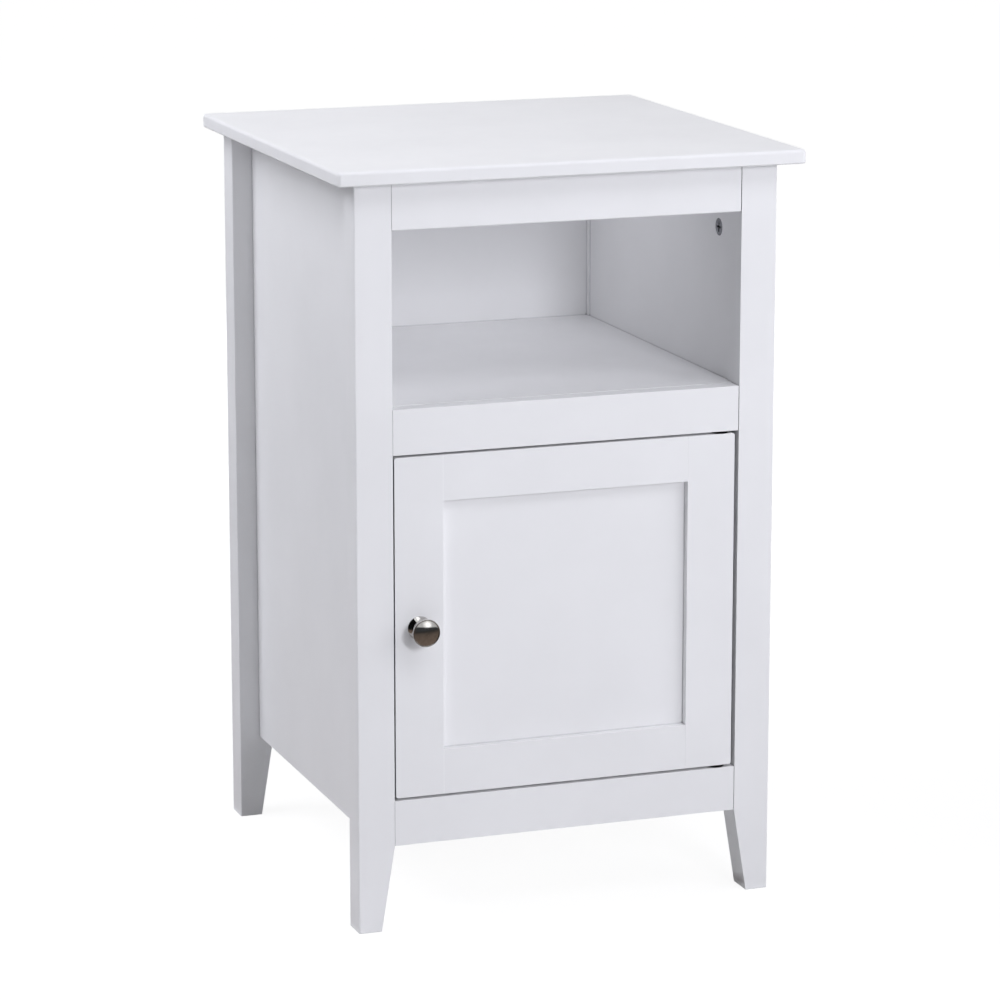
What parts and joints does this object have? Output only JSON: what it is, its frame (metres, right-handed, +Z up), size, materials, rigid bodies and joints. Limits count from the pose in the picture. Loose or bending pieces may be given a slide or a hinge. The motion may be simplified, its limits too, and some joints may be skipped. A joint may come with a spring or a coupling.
{
  "type": "side table with open bay and door",
  "caption": "Square side table on tapered legs with an open bay over a cupboard closed by a framed door on pivot hinges with a round knob.",
  "frame": {"origin": "on the floor, under the middle of the table's outline, which the knob is part of", "axes": "+X to the table's right as seen from the front, +Y to the back, +Z up; the door and knob are at -Y"},
  "size_m": [0.412, 0.4032, 0.65],
  "materials": {
    "lacquered_board": "sprayed satin lacquer on MDF",
    "lacquered_leg": "sprayed satin lacquer on solid wood",
    "back_sheet": "thin hardboard, lacquered",
    "knob_nickel": "polished nickel plate",
    "zinc_cam": "die-cast zinc",
    "steel_bolt": "zinc-plated steel",
    "beech_dowel": "bare beech",
    "steel_screw": "zinc-plated steel",
    "pin_steel": "bright steel rod",
    "black_nylon": "moulded nylon",
    "catch_plastic": "moulded plastic",
    "ferrite": "sintered ferrite magnet",
    "pole_steel": "stamped steel"
  },
  "bodies": {
    "cabinet": {"top_panel": "lacquered_board", "leg_front_left": "lacquered_leg", "leg_front_right": "lacquered_leg", "leg_rear_left": "lacquered_leg", "leg_rear_right": "lacquered_leg", "side_panel_left": "lacquered_board", "side_panel_right": "lacquered_board", "top_front_rail": "lacquered_board", "shelf_front_rail": "lacquered_board", "bottom_front_rail": "lacquered_board", "shelf_board": "lacquered_board", "floor_board": "lacquered_board", "back_panel": "back_sheet", "pivot_pins": "pin_steel", "catch_housing": "catch_plastic", "catch_magnet": "ferrite", "catch_poles": "pole_steel", "cam_locks": "zinc_cam", "cam_bolts": "steel_bolt", "dowels": "beech_dowel"},
    "door": {"door_stile_latch": "lacquered_board", "door_stile_hinge": "lacquered_board", "door_rail_top": "lacquered_board", "door_rail_bottom": "lacquered_board", "door_panel": "lacquered_board", "knob": "knob_nickel", "knob_screw": "steel_screw", "pivot_bushes": "black_nylon", "strike_plate": "pole_steel"}
  },
  "joints": [
    {"name": "door_swing", "type": "hinge", "parent": "cabinet", "child": "door", "pos_m": [0.1398, -0.17315, 0.262], "axis": [0, 0, 1], "range_deg": [0, 110]}
  ]
}
